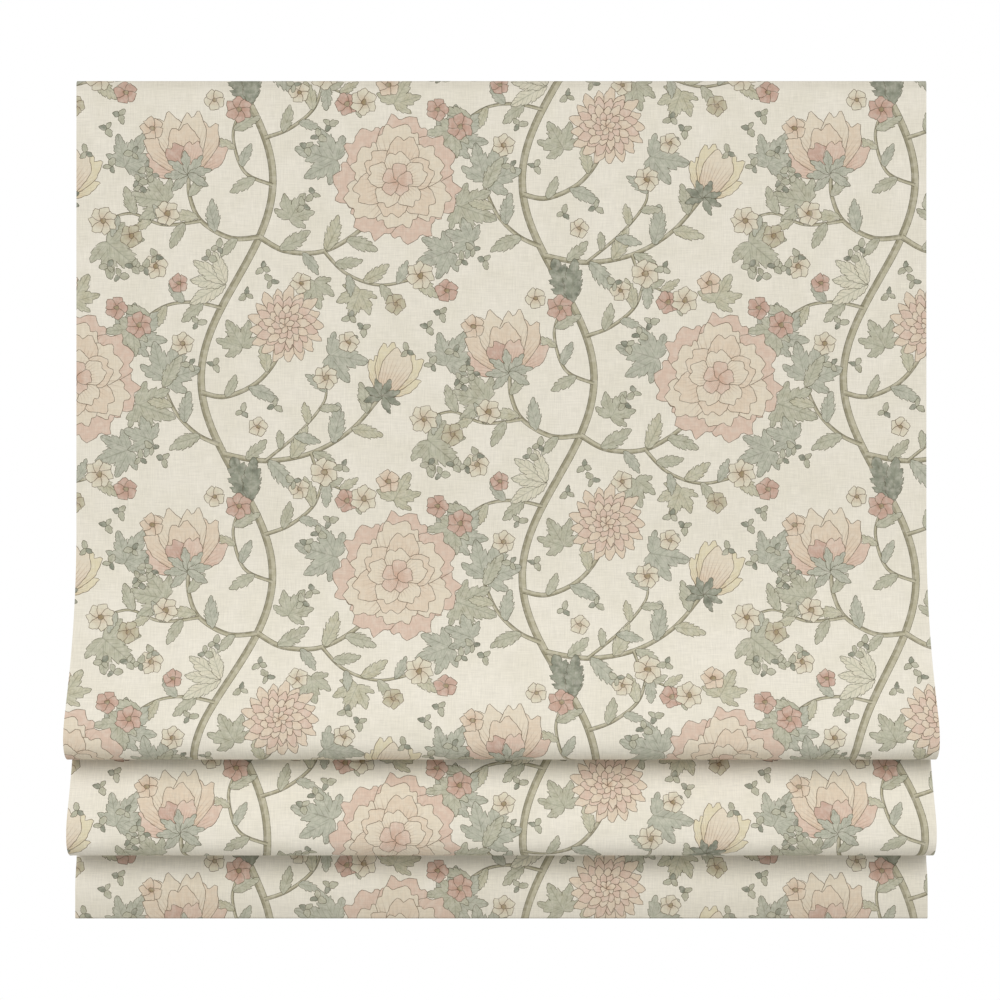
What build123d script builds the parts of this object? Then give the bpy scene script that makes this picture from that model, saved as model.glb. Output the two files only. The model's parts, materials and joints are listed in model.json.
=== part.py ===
from build123d import *
import os
from math import asin, atan2, cos, hypot, pi, radians, sin

os.makedirs("parts", exist_ok=True)

# Roman blind, partly raised: two soft folds hang above the hem panel.
# Millimetres, +Z up, X along the blind, the front faces -Y.
# Origin: on the wall, at the centre of the four bracket screw holes.

# ---- driving dimensions: the cloth ----
BLIND_WIDTH = 900
TOP_Z = 23.5  # highest line of the cloth
FACE_Y = -38.3  # flat front face of the cloth
FACE_THICKNESS = 1.0
LINING_THICKNESS = 0.6
PLY_GAP = 0.3  # between the face cloth and its lining
SIDE_HEM = 38  # face cloth turned in at each side edge
HEM_TURN = 34  # face cloth turned up behind the bottom bar

# Drops are measured down from the top of the cloth, depths forward from its flat face.
PLEAT = 328  # cloth between two neighbouring rods
ROD_1_DROP = 148
ROD_2_DROP = ROD_1_DROP + PLEAT
ROD_3_DROP = ROD_2_DROP + 186
STACK_PITCH = 12  # least distance between two rods, with their cloth between them
ROD_4_DROP = ROD_3_DROP + STACK_PITCH
HEM_DROP = ROD_4_DROP + 213
HEM_DEPTH = 5.5
FOLD_DEPTHS = (58, 45)  # how far the two folds stand forward
FOLD_RADIUS = 22

# ---- driving dimensions: rods, rings, cords and bottom bar ----
ROD_RADIUS = 1.75
ROD_LENGTH = 812
POCKET_WALL = 0.7
CORD_X = (-375, 0, 375)
CORD_RADIUS = 0.7
RING_WIRE = 0.8
BAR_WIDTH, BAR_THICKNESS, BAR_LENGTH = 25, 3, 876

# ---- driving dimensions: headrail and drive ----
RAIL_LENGTH = 892
RAIL_BACK_Y, RAIL_FRONT_Y = -6, -34
RAIL_TOP_Z, RAIL_BOTTOM_Z = 18, -18
RAIL_WALL = 1.4
RAIL_LIP = 5
TAPE_THICKNESS = 1.2
AXIS_Y, AXIS_Z = -18.95, 2  # drive shaft
SHAFT_FLATS = 5
SPOOL_RADIUS = 5.5
SPOOL_LENGTH = 40
JOURNAL_RADIUS = 4
BEARING_GAP = 0.05
CORD_PITCH = 1.5  # cord turns laid side by side on a spool
CORD_TURNS = 12.4
WHEEL_RADIUS = 9

# ---- driving dimensions: wall brackets ----
BRACKET_X = 300
BRACKET_WIDTH = 26
BRACKET_PLATE = 2
SCREW_SPACING = 18
SCREW_HOLE_RADIUS = 2.25
LATCH_Y = -18

GAP = 0.3  # between pieces that are free of each other
LINING_FRONT = -FACE_THICKNESS - PLY_GAP
LINING_BACK = LINING_FRONT - LINING_THICKNESS
POCKET_RADIUS = ROD_RADIUS + POCKET_WALL + 0.25
ROD_Y = FACE_Y - LINING_BACK + GAP + POCKET_RADIUS
CORD_Y = AXIS_Y - SPOOL_RADIUS - CORD_RADIUS - BEARING_GAP
RING_RADIUS = CORD_Y - ROD_Y - POCKET_RADIUS - RING_WIRE - 0.4
RAIL_IN_BACK, RAIL_IN_FRONT = RAIL_BACK_Y - RAIL_WALL, RAIL_FRONT_Y + RAIL_WALL
RAIL_IN_BOTTOM, RAIL_IN_TOP = RAIL_BOTTOM_Z + RAIL_WALL, RAIL_TOP_Z - RAIL_WALL
RAIL_MID_Y = (RAIL_BACK_Y + RAIL_FRONT_Y) / 2


def save(node, name):
    """Write one piece of the blind as its own STEP file."""
    node.label = name
    export_step(node, f"parts/{name}.step")


def block(x, y, z):
    """A box between two limits on each axis."""
    size = (abs(x[1] - x[0]), abs(y[1] - y[0]), abs(z[1] - z[0]))
    middle = ((x[0] + x[1]) / 2, (y[0] + y[1]) / 2, (z[0] + z[1]) / 2)
    return Pos(*middle) * Box(*size)


def rod_x(x1, x2, y, z, radius):
    """A round bar along X."""
    return Pos((x1 + x2) / 2, y, z) * Rot(0, 90, 0) * Cylinder(radius, x2 - x1)


def rod_z(x, y, z1, z2, radius):
    """A round bar along Z."""
    return Pos(x, y, (z1 + z2) / 2) * Cylinder(radius, z2 - z1)


def hex_x(x1, x2, y, z, flats):
    """A hexagonal bar along X."""
    outline = Plane.YZ.offset(x1) * Pos(y, z) * RegularPolygon(flats / 2, 6, major_radius=False)
    return extrude(outline, amount=x2 - x1)


# ---- the folded line of the cloth ----
# The cloth is followed like a belt over round formers. Each former is (depth, drop, radius, turn);
# turn +1 has its centre on the printed side of the cloth, turn -1 on the lining side.
# Headings are angles from straight down, positive forwards.
def belt(stops, first, last):
    """Add to each former the headings at which the cloth meets it and leaves it."""
    heading, line = first, []
    for here, after in zip(stops, stops[1:] + [None]):
        depth, drop, radius, turn = here
        leave = last
        if after:
            away = hypot(after[0] - depth, after[1] - drop)
            lean = (after[3] * after[2] - turn * radius) / away
            leave = atan2(after[0] - depth, after[1] - drop) - asin(max(-1, min(1, lean)))
        while turn * (leave - heading) < -1e-6:
            leave += turn * 2 * pi
        while turn * (leave - heading) > 2 * pi - 1e-6:
            leave -= turn * 2 * pi
        line.append((here, heading, leave))
        heading = leave
    return line


def on_former(former, heading, offset):
    """The point of a ply at one heading, offset from the printed face."""
    depth, drop, radius, turn = former
    reach = offset - turn * radius
    return Vector(0, FACE_Y - depth - reach * cos(heading), TOP_Z - drop + reach * sin(heading))


def ply_edges(line, offset, head, tail):
    """The edges of one side of a ply, with straight ends of the lengths head and tail."""
    edges = []
    first, last = line[0], line[-1]
    start = on_former(first[0], first[1], offset)
    point = start - Vector(0, -sin(first[1]), -cos(first[1])) * head
    for former, meet, leave in line:
        touch = on_former(former, meet, offset)
        if (touch - point).length > 0.01:
            edges.append(Line(point, touch))
            point = touch
        if abs(leave - meet) > 1e-3:
            middle = on_former(former, (meet + leave) / 2, offset)
            point = on_former(former, leave, offset)
            edges.append(ThreePointArc(touch, middle, point))
    if tail:
        end = point + Vector(0, -sin(last[2]), -cos(last[2])) * tail
        edges.append(Line(point, end))
    return edges


def ply(line, near, far, x1, x2, head, tail):
    """A thin sheet that follows the folded line between two offsets and two X positions."""
    front, back = ply_edges(line, near, head, tail), ply_edges(line, far, head, tail)
    ends = [Line(front[0] @ 0, back[0] @ 0), Line(front[-1] @ 1, back[-1] @ 1)]
    outline = Face(Wire(front + back + ends))
    return Pos(x1, 0, 0) * extrude(outline, amount=x2 - x1, dir=(1, 0, 0))


TOP_RADIUS = 5
CREASE = 1.2  # printed face inside the tight crease at a rod
FLARE_RADIUS, BELLY_RADIUS = 370, 48
first_fold = [
    (FLARE_RADIUS, ROD_2_DROP, FLARE_RADIUS, 1),
    (FOLD_DEPTHS[0] - BELLY_RADIUS, ROD_3_DROP + 29, BELLY_RADIUS, -1),
    (FOLD_DEPTHS[0] - FOLD_RADIUS, ROD_3_DROP + 30, FOLD_RADIUS, -1),
    (FOLD_DEPTHS[0] - FOLD_RADIUS - 5, ROD_3_DROP + 35, FOLD_RADIUS - 5, -1),
    (1, ROD_3_DROP + 2.5, CREASE, 1),
]
second_fold = [
    (490, ROD_3_DROP - 109, 499, 1),
    (FOLD_DEPTHS[1] - 38, ROD_4_DROP + 115, 38, -1),
    (FOLD_DEPTHS[1] - FOLD_RADIUS, ROD_4_DROP + 120, FOLD_RADIUS, -1),
    (FOLD_DEPTHS[1] - FOLD_RADIUS - 4, ROD_4_DROP + 126, FOLD_RADIUS - 6, -1),
    (-1, ROD_4_DROP + 5, CREASE, 1),
]
SWELL_RADIUS = 60
hem_panel = [
    (SWELL_RADIUS - 1.5, HEM_DROP - 72, SWELL_RADIUS, 1),
    (HEM_DEPTH - SWELL_RADIUS, HEM_DROP - 31, SWELL_RADIUS, -1),
]
HEM_RADIUS = BAR_THICKNESS / 2 + GAP + FACE_THICKNESS
top_turn = [(-TOP_RADIUS, TOP_RADIUS, TOP_RADIUS, -1)]
hem_turn = [(HEM_DEPTH - HEM_RADIUS, HEM_DROP - HEM_RADIUS, HEM_RADIUS, -1)]
whole_line = belt(top_turn + first_fold + second_fold + hem_panel + hem_turn, pi / 2, -pi)
EDGE_HEADING = radians(9)  # the lining and the turned sides stop here, above the bottom bar
lining_line = belt(top_turn + first_fold + second_fold + hem_panel[:1], pi / 2, EDGE_HEADING)
hem_line = belt(hem_panel + hem_turn, EDGE_HEADING, -pi)
FLAP = 5  # cloth carried back over the rail before it turns down

# ---- face cloth: printed linen with its side edges turned in and its hem turned up ----
half = BLIND_WIDTH / 2
side_start = half - SIDE_HEM
face = ply(whole_line, 0, -FACE_THICKNESS, -side_start, side_start, FLAP, HEM_TURN)
front = ply_edges(whole_line, 0, FLAP, HEM_TURN)
turned_back = ply_edges(lining_line, LINING_BACK, FLAP, 0)
hem_back = ply_edges(hem_line, -FACE_THICKNESS, 0, HEM_TURN)
joins = [
    Line(front[0] @ 0, turned_back[0] @ 0),
    Line(turned_back[-1] @ 1, hem_back[0] @ 0),
    Line(front[-1] @ 1, hem_back[-1] @ 1),
]
side_outline = Face(Wire(front + turned_back + hem_back + joins))
for start in (-half, side_start):
    face += Pos(start, 0, 0) * extrude(side_outline, amount=SIDE_HEM, dir=(1, 0, 0))
save(face, "face_fabric")

# ---- lining: plain cotton between the two turned side edges ----
lining_half = side_start - GAP
lining = ply(lining_line, LINING_FRONT, LINING_BACK, -lining_half, lining_half, FLAP, 2)
save(lining, "lining")

# ---- headrail: aluminium channel, open at the top, with turned-in lips ----
rail_half = RAIL_LENGTH / 2
rail = block((-rail_half, rail_half), (RAIL_BACK_Y, RAIL_FRONT_Y), (RAIL_BOTTOM_Z, RAIL_TOP_Z))
rail -= block((-rail_half, rail_half), (RAIL_IN_BACK, RAIL_IN_FRONT), (RAIL_IN_BOTTOM, RAIL_IN_TOP))
lips = (RAIL_BACK_Y - RAIL_LIP, RAIL_FRONT_Y + RAIL_LIP)
rail -= block((-rail_half, rail_half), lips, (RAIL_IN_TOP, RAIL_TOP_Z))
outer_edges = rail.edges().filter_by(Axis.X).filter_by(
    lambda e: e.center().Y in (RAIL_BACK_Y, RAIL_FRONT_Y) and e.center().Z == RAIL_BOTTOM_Z
)
rail = fillet(outer_edges, 1)
for x in CORD_X:
    rail -= rod_z(x, CORD_Y, RAIL_BOTTOM_Z - 1, RAIL_IN_BOTTOM + 1, 3)

# The beads of the operating chain come out through this slot at the control end.
UNIT_X = (rail_half - 30, rail_half)
WHEEL_X = (UNIT_X[0] + 15, UNIT_X[0] + 23)
CHAMBER_RADIUS = WHEEL_RADIUS + 1.2
chain_y = (AXIS_Y - CHAMBER_RADIUS, AXIS_Y + CHAMBER_RADIUS)
chain_x = (WHEEL_X[0] - 1, WHEEL_X[1] + 1)
rail -= block(chain_x, chain_y, (RAIL_BOTTOM_Z - 1, RAIL_IN_BOTTOM + 1))
save(rail, "headrail")

# ---- hook tape on the rail, loop tape sewn to the back of the cloth ----
tape_z = (RAIL_BOTTOM_Z + 6, RAIL_TOP_Z - 5)
hook_y = (RAIL_FRONT_Y, RAIL_FRONT_Y - TAPE_THICKNESS)
save(block((-rail_half, rail_half), hook_y, tape_z), "hook_tape")
loop_y = (hook_y[1], FACE_Y - LINING_BACK)
save(block((-lining_half, lining_half), loop_y, tape_z), "loop_tape")

# ---- end caps: a flange over the cut end and a plug inside the channel ----
INNER_Y = (RAIL_IN_BACK - GAP, RAIL_IN_FRONT + GAP)
INNER_Z = (RAIL_IN_BOTTOM + GAP, RAIL_IN_TOP - GAP)
CAP = 2


def end_cap(side):
    """A moulded cap; side -1 is the left end with the idle bearing, +1 the control end."""
    face_x = sorted((side * rail_half, side * (rail_half + CAP)))
    cap = block(face_x, (RAIL_BACK_Y, RAIL_FRONT_Y), (RAIL_BOTTOM_Z, RAIL_TOP_Z))
    corners = cap.edges().filter_by(Axis.X)
    cap = fillet(corners, 2)
    rim = cap.faces().sort_by(Axis.X)[-1 if side > 0 else 0].edges()
    return chamfer(rim, 0.6)


cap_left = end_cap(-1)
plug_x = (-rail_half, -rail_half + 4)
cap_left += block(plug_x, INNER_Y, INNER_Z) - block(
    plug_x, (INNER_Y[0] - 1.6, INNER_Y[1] + 1.6), (INNER_Z[0] + 1.6, INNER_Z[1] - 1.6)
)
save(cap_left, "end_cap_left")
save(end_cap(1), "end_cap_right")

# ---- idle bearing: the block that carries the plain end of the shaft ----
IDLE_X = (-rail_half + 4, -rail_half + 18)
PIN_RADIUS = 2.4
idle = block(IDLE_X, INNER_Y, INNER_Z)
idle = chamfer(idle.edges().filter_by(Axis.X), 1.5)
idle -= rod_x(IDLE_X[0] + 2, IDLE_X[1], AXIS_Y, AXIS_Z, PIN_RADIUS + BEARING_GAP)
for z in (INNER_Z[0] + 5, INNER_Z[1] - 3):
    idle -= block(IDLE_X, (RAIL_MID_Y + 9, RAIL_MID_Y - 9), (z - 1, z + 1))
save(idle, "idle_bearing")

# ---- control unit: housing with a spring chamber and a wheel chamber ----
HUB_RADIUS = 4
SPRING_X = (UNIT_X[0] + 3, UNIT_X[0] + 12)
COVER_X = (WHEEL_X[1] + 1, UNIT_X[1])
housing = block((UNIT_X[0], COVER_X[0]), INNER_Y, INNER_Z)
housing = chamfer(housing.edges().filter_by(Axis.X), 1.5)
housing -= rod_x(UNIT_X[0], COVER_X[0], AXIS_Y, AXIS_Z, HUB_RADIUS + BEARING_GAP)
housing -= rod_x(SPRING_X[0], SPRING_X[1], AXIS_Y, AXIS_Z, 6.5)
housing -= rod_x(chain_x[0], COVER_X[0], AXIS_Y, AXIS_Z, CHAMBER_RADIUS)
SLOT = 5
for y in (chain_y[0], chain_y[1] - SLOT):
    housing -= block((chain_x[0], COVER_X[0]), (y, y + SLOT), (INNER_Z[0], AXIS_Z))
save(housing, "control_housing")

STUB_RADIUS = 2
cover = block(COVER_X, INNER_Y, INNER_Z)
cover = chamfer(cover.edges().filter_by(Axis.X), 1.5)
cover -= rod_x(COVER_X[0], COVER_X[1] - 2, AXIS_Y, AXIS_Z, STUB_RADIUS + BEARING_GAP)
save(cover, "control_cover")

# ---- chain wheel: a ring of bead pockets, its hub reaching through the housing ----
BEADS = 12
wheel = rod_x(WHEEL_X[0], WHEEL_X[1], AXIS_Y, AXIS_Z, WHEEL_RADIUS)
for bead in range(BEADS):
    turn = radians((bead + 0.5) * 360 / BEADS)
    centre = (WHEEL_X[0] + 4, AXIS_Y + WHEEL_RADIUS * cos(turn), AXIS_Z + WHEEL_RADIUS * sin(turn))
    wheel -= Pos(*centre) * Sphere(2)
wheel += rod_x(UNIT_X[0] - 4, WHEEL_X[0], AXIS_Y, AXIS_Z, HUB_RADIUS)
wheel += rod_x(WHEEL_X[1], COVER_X[1] - 2.5, AXIS_Y, AXIS_Z, STUB_RADIUS)
wheel -= hex_x(UNIT_X[0] - 4, WHEEL_X[0] + 4, AXIS_Y, AXIS_Z, SHAFT_FLATS)
save(wheel, "chain_wheel")

# ---- brake spring: a close coil round the hub, held in the housing ----
SPRING_WIRE, SPRING_TURNS = 0.5, 6
coil_radius = HUB_RADIUS + GAP + SPRING_WIRE
coil_pitch = 1.25
coil_path = Helix(coil_pitch, coil_pitch * SPRING_TURNS, coil_radius)
coil = sweep(Plane(coil_path @ 0, z_dir=coil_path % 0) * Circle(SPRING_WIRE), path=coil_path)
spring_plane = Plane((SPRING_X[0] + 0.8, AXIS_Y, AXIS_Z), x_dir=(0, 0, 1), z_dir=(1, 0, 0))
save(spring_plane.location * coil, "brake_spring")

# ---- drive shaft: hexagonal bar with a turned pin at the idle end ----
shaft = hex_x(IDLE_X[1] + 1, WHEEL_X[0] + 4, AXIS_Y, AXIS_Z, SHAFT_FLATS)
shaft += rod_x(IDLE_X[0] + 2.5, IDLE_X[1] + 1, AXIS_Y, AXIS_Z, PIN_RADIUS)
save(shaft, "drive_shaft")

# ---- cord spools and the cradles that carry them ----
FLANGE = 1.2
FLANGE_RADIUS = 8.5
CRADLE_WALL = (SPOOL_LENGTH / 2 + FLANGE + 0.8, SPOOL_LENGTH / 2 + FLANGE + 3.8)
CRADLE_Y = (AXIS_Y + 10.5, AXIS_Y - 10.5)
for number, x in enumerate(CORD_X, 1):
    barrel_end = SPOOL_LENGTH / 2
    spool = rod_x(x - barrel_end, x + barrel_end, AXIS_Y, AXIS_Z, SPOOL_RADIUS)
    for side in (-1, 1):
        flange = sorted((x + side * barrel_end, x + side * (barrel_end + FLANGE)))
        journal = sorted((x + side * barrel_end, x + side * (CRADLE_WALL[1] + 1)))
        spool += rod_x(flange[0], flange[1], AXIS_Y, AXIS_Z, FLANGE_RADIUS)
        spool += rod_x(journal[0], journal[1], AXIS_Y, AXIS_Z, JOURNAL_RADIUS)
    spool -= hex_x(x - CRADLE_WALL[1] - 1, x + CRADLE_WALL[1] + 1, AXIS_Y, AXIS_Z, SHAFT_FLATS)
    save(spool, f"cord_spool_{number}")

    reach = CRADLE_WALL[1] + 1.5
    cradle = block((x - reach, x + reach), CRADLE_Y, (INNER_Z[0], INNER_Z[0] + 2))
    for side in (-1, 1):
        wall = sorted((x + side * CRADLE_WALL[0], x + side * CRADLE_WALL[1]))
        cradle += block(wall, CRADLE_Y, (INNER_Z[0] + 2, AXIS_Z + 5.5))
    cradle -= rod_x(x - reach, x + reach, AXIS_Y, AXIS_Z, JOURNAL_RADIUS + BEARING_GAP)
    throat = (AXIS_Y - JOURNAL_RADIUS + 0.6, AXIS_Y + JOURNAL_RADIUS - 0.6)
    cradle -= block((x - reach, x + reach), throat, (AXIS_Z, AXIS_Z + 6))
    cradle -= rod_z(x, CORD_Y, INNER_Z[0] - 1, INNER_Z[0] + 3, CORD_RADIUS + 0.5)
    save(cradle, f"spool_cradle_{number}")

# ---- lift cords: wound on the spool, then down through the rail floor and every ring ----
ANCHOR_DROP = ROD_4_DROP + 3
ANCHOR_LENGTH = 10
cord_foot_z = TOP_Z - ANCHOR_DROP - 6
LIFT_OFF = radians(20)  # where the cord leaves the last turn and straightens
for number, x in enumerate(CORD_X, 1):
    leave_dir = (0, -cos(LIFT_OFF), sin(LIFT_OFF))
    laid = Plane((x, AXIS_Y, AXIS_Z), x_dir=leave_dir, z_dir=(-1, 0, 0))
    winding = laid.location * Helix(CORD_PITCH, CORD_PITCH * CORD_TURNS, AXIS_Y - CORD_Y)
    hang = Vector(x, CORD_Y, AXIS_Z - 8)
    lead = Spline([winding @ 0, hang], tangents=[-(winding % 0), (0, 0, -1)])
    drop = Line(hang, (x, CORD_Y, cord_foot_z))
    route = Wire([drop, lead, winding])
    cord = sweep(Plane(drop @ 1, z_dir=(0, 0, 1)) * Circle(CORD_RADIUS), path=route)
    save(cord, f"lift_cord_{number}")

# ---- stiffening rods in their pockets, each with a ring on every cord ----
PLACES = ("left", "middle", "right")
pocket_half = ROD_LENGTH / 2 + 3
for number, drop in enumerate((ROD_1_DROP, ROD_2_DROP, ROD_3_DROP, ROD_4_DROP), 1):
    z = TOP_Z - drop
    save(rod_x(-ROD_LENGTH / 2, ROD_LENGTH / 2, ROD_Y, z, ROD_RADIUS), f"rod_{number}")
    pocket = rod_x(-pocket_half, pocket_half, ROD_Y, z, POCKET_RADIUS)
    pocket -= rod_x(-pocket_half, pocket_half, ROD_Y, z, POCKET_RADIUS - POCKET_WALL)
    save(pocket, f"rod_pocket_{number}")
    for place, x in zip(PLACES, CORD_X):
        ring = Pos(x, CORD_Y, z) * Torus(RING_RADIUS, RING_WIRE)
        save(ring, f"ring_{number}_{place}")

# ---- cord anchors: a bead under each lowest ring that holds the end of its cord ----
for place, x in zip(PLACES, CORD_X):
    top = TOP_Z - ANCHOR_DROP
    anchor = rod_z(x, CORD_Y, top - ANCHOR_LENGTH, top, 3.2)
    anchor = fillet(anchor.edges().filter_by(GeomType.CIRCLE), 1.4)
    anchor -= rod_z(x, CORD_Y, cord_foot_z - GAP, top + 1, CORD_RADIUS + GAP)
    save(anchor, f"cord_anchor_{place}")

# ---- bottom bar: flat aluminium weight in the hem, with a cap on each end ----
bar_y = FACE_Y - HEM_DEPTH + HEM_RADIUS
bar_z = TOP_Z - HEM_DROP + FACE_THICKNESS + 1.2
bar_half_y = BAR_THICKNESS / 2
bar = block(
    (-BAR_LENGTH / 2, BAR_LENGTH / 2),
    (bar_y - bar_half_y, bar_y + bar_half_y),
    (bar_z, bar_z + BAR_WIDTH),
)
bar = fillet(bar.edges().filter_by(Axis.X), 0.6)
save(bar, "bottom_bar")
for side, name in ((-1, "left"), (1, "right")):
    cap_x = sorted((side * (BAR_LENGTH / 2 - 8), side * (BAR_LENGTH / 2 + 4)))
    cap = block(cap_x, (bar_y - 1.45, bar_y + 1.45), (bar_z + 1, bar_z + BAR_WIDTH - 1))
    hollow = sorted((side * (BAR_LENGTH / 2 - 8), side * (BAR_LENGTH / 2)))
    cap -= block(hollow, (bar_y - 2, bar_y + 2), (bar_z, bar_z + BAR_WIDTH))
    save(cap, f"bar_cap_{name}")

# ---- wall brackets: back plate, arm over the rail and a claw under its front lip ----
PLATE_Z = (-16, RAIL_TOP_Z + GAP + BRACKET_PLATE)
ARM_Z = (RAIL_TOP_Z + GAP, RAIL_TOP_Z + GAP + BRACKET_PLATE)
CLAW_Y = (RAIL_FRONT_Y + RAIL_LIP + 2.3, RAIL_FRONT_Y + RAIL_LIP + 0.3)
CLAW_Z = (RAIL_IN_TOP - GAP - BRACKET_PLATE, RAIL_IN_TOP - GAP)
LATCH_PIN = 2
for side, name in ((-1, "left"), (1, "right")):
    x = side * BRACKET_X
    width = (x - BRACKET_WIDTH / 2, x + BRACKET_WIDTH / 2)
    bracket = block(width, (0, -BRACKET_PLATE), PLATE_Z)
    bracket += block(width, (0, CLAW_Y[1]), ARM_Z)
    bracket += block((x - 7, x + 7), CLAW_Y, (CLAW_Z[0], ARM_Z[1]))
    bracket += block((x - 7, x + 7), (CLAW_Y[0], RAIL_FRONT_Y + 2.2), CLAW_Z)
    bend = bracket.edges().filter_by(Axis.X).filter_by(
        lambda e: abs(e.center().Y) < 0.01 and abs(e.center().Z - ARM_Z[1]) < 0.01
    )
    bracket = fillet(bend, 1.5)
    bracket -= rod_z(x, LATCH_Y, ARM_Z[0] - 1, ARM_Z[1] + 1, LATCH_PIN + BEARING_GAP)
    for z in (-SCREW_SPACING / 2, SCREW_SPACING / 2):
        hole = Pos(x, -BRACKET_PLATE / 2, z) * Rot(90, 0, 0) * Cylinder(SCREW_HOLE_RADIUS, 4)
        bracket -= hole
    save(bracket, f"bracket_{name}")

    latch = block((x - 5, x + 5), (LATCH_Y - 4, RAIL_IN_BACK - 0.8), CLAW_Z)
    latch = fillet(latch.edges().filter_by(Axis.Z), 2)
    latch += rod_z(x, LATCH_Y, CLAW_Z[1], ARM_Z[1] + GAP, LATCH_PIN)
    lever_z = (ARM_Z[1] + GAP, ARM_Z[1] + GAP + 1.4)
    lever = block((x - 4, x + 18), (LATCH_Y - 4, LATCH_Y + 4), lever_z)
    lever = fillet(lever.edges().filter_by(Axis.Z), 3)
    save(latch + lever, f"latch_{name}")
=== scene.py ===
# %% [markdown]
# A roman blind is a flat piece of lined cloth that folds up in soft pleats when its cords are pulled.
# The hard pieces (rail, spools, rods, rings, bar) come from the CAD model and only need finishes.
# The cloth, its lining and the lift cords are made here, because cloth has print, weave and soft bends.

# %% Load the CAD frame
import json
import math

import bpy
import numpy as np
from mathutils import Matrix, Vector
from mathutils.geometry import delaunay_2d_cdt


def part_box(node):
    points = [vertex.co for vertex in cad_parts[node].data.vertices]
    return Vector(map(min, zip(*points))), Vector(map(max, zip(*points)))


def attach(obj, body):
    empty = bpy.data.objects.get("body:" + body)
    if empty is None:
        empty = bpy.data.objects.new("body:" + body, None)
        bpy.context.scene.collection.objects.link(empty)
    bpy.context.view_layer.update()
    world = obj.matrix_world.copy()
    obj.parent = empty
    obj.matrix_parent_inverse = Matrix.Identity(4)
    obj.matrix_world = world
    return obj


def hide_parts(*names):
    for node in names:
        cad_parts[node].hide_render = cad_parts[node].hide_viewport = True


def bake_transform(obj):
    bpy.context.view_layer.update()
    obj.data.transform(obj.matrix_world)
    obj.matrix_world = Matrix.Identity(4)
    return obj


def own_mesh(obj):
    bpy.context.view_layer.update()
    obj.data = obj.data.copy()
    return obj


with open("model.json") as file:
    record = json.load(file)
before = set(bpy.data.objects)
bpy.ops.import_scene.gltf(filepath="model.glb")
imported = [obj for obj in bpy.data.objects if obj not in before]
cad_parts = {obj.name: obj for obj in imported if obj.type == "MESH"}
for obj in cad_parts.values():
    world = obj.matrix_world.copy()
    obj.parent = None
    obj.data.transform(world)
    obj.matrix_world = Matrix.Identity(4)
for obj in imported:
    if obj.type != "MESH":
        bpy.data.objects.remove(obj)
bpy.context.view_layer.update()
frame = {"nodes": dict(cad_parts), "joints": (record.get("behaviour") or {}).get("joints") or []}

nodes = frame["nodes"]

# %% [markdown]
# The camera comes first, so that the scene is always seen from the same place.
# It stands square on, at the middle of the blind's height, 1.9 m in front of the flat cloth.
# A long lens at that distance keeps the width true, while the folds still look nearer than the flat part.

# %% Camera
cloth_low, cloth_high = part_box("face_fabric")
TOP = cloth_high.z
FACE_Y = -0.0383
CAMERA_DISTANCE = 1.9
AIM_X, AIM_DROP = -0.0015, 0.4446
LENS, SENSOR = 64.6, 36  # millimetres
camera_data = bpy.data.cameras.new("camera")
camera_data.lens = LENS
camera_data.sensor_width = SENSOR
camera = bpy.data.objects.new("camera", camera_data)
camera.location = (AIM_X, FACE_Y - CAMERA_DISTANCE, TOP - AIM_DROP)
camera.rotation_euler = (math.radians(90), 0, 0)
bpy.context.scene.collection.objects.link(camera)
bpy.context.scene.camera = camera
print("camera at", [round(x, 3) for x in camera.location])

# %% [markdown]
# Every material below is a small network of shader nodes.
# Writing each node by hand hides the idea, so one class wraps a node socket and turns Python's own
# operators into Math nodes, and one method adds any other node with its settings and inputs.


# %% A short way to write shader nodes
class Value:
    """A socket that carries a number or colour; + - * / on it add Math nodes."""

    def __init__(self, material, socket):
        self.material, self.socket = material, socket

    def math(self, operation, *others):
        return self.material.add("ShaderNodeMath", {"operation": operation}, self, *others)

    def __add__(self, other):
        return self.math("ADD", other)

    def __sub__(self, other):
        return self.math("SUBTRACT", other)

    def __mul__(self, other):
        return self.math("MULTIPLY", other)

    def __truediv__(self, other):
        return self.math("DIVIDE", other)

    def __rsub__(self, other):
        return self.material.add("ShaderNodeMath", {"operation": "SUBTRACT"}, other, self)

    def __rtruediv__(self, other):
        return self.material.add("ShaderNodeMath", {"operation": "DIVIDE"}, other, self)

    __radd__, __rmul__ = __add__, __mul__

    def between(self, low, high):
        """0 below low, 1 above high, smooth between."""
        return self.material.add(
            "ShaderNodeMapRange", {"interpolation_type": "SMOOTHSTEP"}, self, low, high, 0.0, 1.0
        )


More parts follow.
